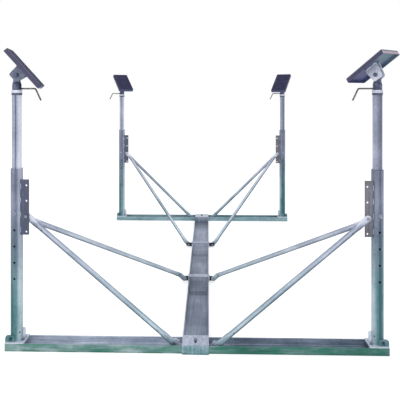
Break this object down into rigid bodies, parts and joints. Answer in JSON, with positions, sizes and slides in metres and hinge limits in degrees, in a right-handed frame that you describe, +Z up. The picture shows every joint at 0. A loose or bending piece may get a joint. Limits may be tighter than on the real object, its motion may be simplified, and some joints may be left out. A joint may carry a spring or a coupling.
{
  "type": "boat cradle",
  "caption": "Free-standing boat cradle: cross beams and a spine carry braced telescopic posts with screw jacks and swivelling, tilting hull pads.",
  "frame": {"origin": "on the ground, under the middle of the spine", "axes": "+Z up, +Y along the spine from the longer front beam to the shorter rear beam, +X to the right seen from the front"},
  "size_m": [2.6021, 2.9576, 1.9829],
  "materials": {
    "galvanised": "hot-dip galvanised, with spangle",
    "fasteners": "zinc plated",
    "crank_steel": "dull grey, lightly weathered",
    "pad_tray": "dull galvanised",
    "pad_facing": "matt navy rubber sheet"
  },
  "bodies": {
    "root": {"spine": "galvanised", "front_beam": "galvanised", "rear_beam": "galvanised", "front_saddle": "galvanised", "rear_saddle": "galvanised", "front_strap": "galvanised", "rear_strap": "galvanised", "front_left_outer_post": "galvanised", "front_left_brace_plate": "galvanised", "front_left_long_brace": "galvanised", "front_left_short_brace": "galvanised", "front_left_brace_bolt": "fasteners", "front_right_outer_post": "galvanised", "front_right_brace_plate": "galvanised", "front_right_long_brace": "galvanised", "front_right_short_brace": "galvanised", "front_right_brace_bolt": "fasteners", "rear_left_outer_post": "galvanised", "rear_left_brace_plate": "galvanised", "rear_left_long_brace": "galvanised", "rear_left_short_brace": "galvanised", "rear_left_brace_bolt": "fasteners", "rear_right_outer_post": "galvanised", "rear_right_brace_plate": "galvanised", "rear_right_long_brace": "galvanised", "rear_right_short_brace": "galvanised", "rear_right_brace_bolt": "fasteners"},
    "front_left_lift": {"front_left_inner_post": "galvanised"},
    "front_left_pin": {"front_left_stop_pin": "fasteners"},
    "front_left_crank": {"front_left_crank_nut": "crank_steel"},
    "front_left_screw": {"front_left_spindle": "fasteners"},
    "front_left_head": {"front_left_swivel_head": "galvanised"},
    "front_left_pad": {"front_left_pad_tray": "pad_tray", "front_left_pad_facing": "pad_facing", "front_left_pivot_bolt": "fasteners"},
    "front_right_lift": {"front_right_inner_post": "galvanised"},
    "front_right_pin": {"front_right_stop_pin": "fasteners"},
    "front_right_crank": {"front_right_crank_nut": "crank_steel"},
    "front_right_screw": {"front_right_spindle": "fasteners"},
    "front_right_head": {"front_right_swivel_head": "galvanised"},
    "front_right_pad": {"front_right_pad_tray": "pad_tray", "front_right_pad_facing": "pad_facing", "front_right_pivot_bolt": "fasteners"},
    "rear_left_lift": {"rear_left_inner_post": "galvanised"},
    "rear_left_pin": {"rear_left_stop_pin": "fasteners"},
    "rear_left_crank": {"rear_left_crank_nut": "crank_steel"},
    "rear_left_screw": {"rear_left_spindle": "fasteners"},
    "rear_left_head": {"rear_left_swivel_head": "galvanised"},
    "rear_left_pad": {"rear_left_pad_tray": "pad_tray", "rear_left_pad_facing": "pad_facing", "rear_left_pivot_bolt": "fasteners"},
    "rear_right_lift": {"rear_right_inner_post": "galvanised"},
    "rear_right_pin": {"rear_right_stop_pin": "fasteners"},
    "rear_right_crank": {"rear_right_crank_nut": "crank_steel"},
    "rear_right_screw": {"rear_right_spindle": "fasteners"},
    "rear_right_head": {"rear_right_swivel_head": "galvanised"},
    "rear_right_pad": {"rear_right_pad_tray": "pad_tray", "rear_right_pad_facing": "pad_facing", "rear_right_pivot_bolt": "fasteners"}
  },
  "joints": [
    {"name": "front_left_post_lift", "type": "slide", "parent": "root", "child": "front_left_lift", "axis": [0, 0, 1], "range_m": [0, 0.2]},
    {"name": "front_left_pin_pull", "type": "slide", "parent": "root", "child": "front_left_pin", "axis": [0, -1, 0], "range_m": [0, 0.1]},
    {"name": "front_left_crank_turn", "type": "hinge", "parent": "front_left_lift", "child": "front_left_crank", "pos_m": [-1.192, -1.35, 1.73], "axis": [0, 0, -1], "range_deg": [0, 10800]},
    {"name": "front_left_spindle_rise", "type": "slide", "parent": "front_left_lift", "child": "front_left_screw", "axis": [0, 0, 1], "range_m": [0, 0.181]},
    {"name": "front_left_head_swivel", "type": "hinge", "parent": "front_left_screw", "child": "front_left_head", "pos_m": [-1.192, -1.35, 1.753], "axis": [0, 0, 1], "continuous": true},
    {"name": "front_left_pad_tilt", "type": "hinge", "parent": "front_left_head", "child": "front_left_pad", "pos_m": [-1.192, -1.35, 1.81], "axis": [-0.2588, 0.9659, 0], "range_deg": [-99.5, 0.5]},
    {"name": "front_right_post_lift", "type": "slide", "parent": "root", "child": "front_right_lift", "axis": [0, 0, 1], "range_m": [0, 0.2]},
    {"name": "front_right_pin_pull", "type": "slide", "parent": "root", "child": "front_right_pin", "axis": [0, -1, 0], "range_m": [0, 0.1]},
    {"name": "front_right_crank_turn", "type": "hinge", "parent": "front_right_lift", "child": "front_right_crank", "pos_m": [1.192, -1.35, 1.73], "axis": [0, 0, -1], "range_deg": [0, 10800]},
    {"name": "front_right_spindle_rise", "type": "slide", "parent": "front_right_lift", "child": "front_right_screw", "axis": [0, 0, 1], "range_m": [0, 0.181]},
    {"name": "front_right_head_swivel", "type": "hinge", "parent": "front_right_screw", "child": "front_right_head", "pos_m": [1.192, -1.35, 1.753], "axis": [0, 0, 1], "continuous": true},
    {"name": "front_right_pad_tilt", "type": "hinge", "parent": "front_right_head", "child": "front_right_pad", "pos_m": [1.192, -1.35, 1.81], "axis": [-0.8192, -0.5736, 0], "range_deg": [-85, 15]},
    {"name": "rear_left_post_lift", "type": "slide", "parent": "root", "child": "rear_left_lift", "axis": [0, 0, 1], "range_m": [0, 0.2]},
    {"name": "rear_left_pin_pull", "type": "slide", "parent": "root", "child": "rear_left_pin", "axis": [0, -1, 0], "range_m": [0, 0.1]},
    {"name": "rear_left_crank_turn", "type": "hinge", "parent": "rear_left_lift", "child": "rear_left_crank", "pos_m": [-1.062, 1.35, 1.68], "axis": [0, 0, -1], "range_deg": [0, 10800]},
    {"name": "rear_left_spindle_rise", "type": "slide", "parent": "rear_left_lift", "child": "rear_left_screw", "axis": [0, 0, 1], "range_m": [0, 0.181]},
    {"name": "rear_left_head_swivel", "type": "hinge", "parent": "rear_left_screw", "child": "rear_left_head", "pos_m": [-1.062, 1.35, 1.703], "axis": [0, 0, 1], "continuous": true},
    {"name": "rear_left_pad_tilt", "type": "hinge", "parent": "rear_left_head", "child": "rear_left_pad", "pos_m": [-1.062, 1.35, 1.76], "axis": [0.848, 0.5299, 0], "range_deg": [-89.5, 10.5]},
    {"name": "rear_right_post_lift", "type": "slide", "parent": "root", "child": "rear_right_lift", "axis": [0, 0, 1], "range_m": [0, 0.2]},
    {"name": "rear_right_pin_pull", "type": "slide", "parent": "root", "child": "rear_right_pin", "axis": [0, -1, 0], "range_m": [0, 0.1]},
    {"name": "rear_right_crank_turn", "type": "hinge", "parent": "rear_right_lift", "child": "rear_right_crank", "pos_m": [1.062, 1.35, 1.68], "axis": [0, 0, -1], "range_deg": [0, 10800]},
    {"name": "rear_right_spindle_rise", "type": "slide", "parent": "rear_right_lift", "child": "rear_right_screw", "axis": [0, 0, 1], "range_m": [0, 0.181]},
    {"name": "rear_right_head_swivel", "type": "hinge", "parent": "rear_right_screw", "child": "rear_right_head", "pos_m": [1.062, 1.35, 1.703], "axis": [0, 0, 1], "continuous": true},
    {"name": "rear_right_pad_tilt", "type": "hinge", "parent": "rear_right_head", "child": "rear_right_pad", "pos_m": [1.062, 1.35, 1.76], "axis": [0.866, -0.5, 0], "range_deg": [-93.5, 6.5]}
  ],
  "couplings": [
    {"joint": "front_left_spindle_rise", "follows": "front_left_crank_turn", "m_per_rad": 0.00095493},
    {"joint": "front_right_spindle_rise", "follows": "front_right_crank_turn", "m_per_rad": 0.00095493},
    {"joint": "rear_left_spindle_rise", "follows": "rear_left_crank_turn", "m_per_rad": 0.00095493},
    {"joint": "rear_right_spindle_rise", "follows": "rear_right_crank_turn", "m_per_rad": 0.00095493}
  ]
}
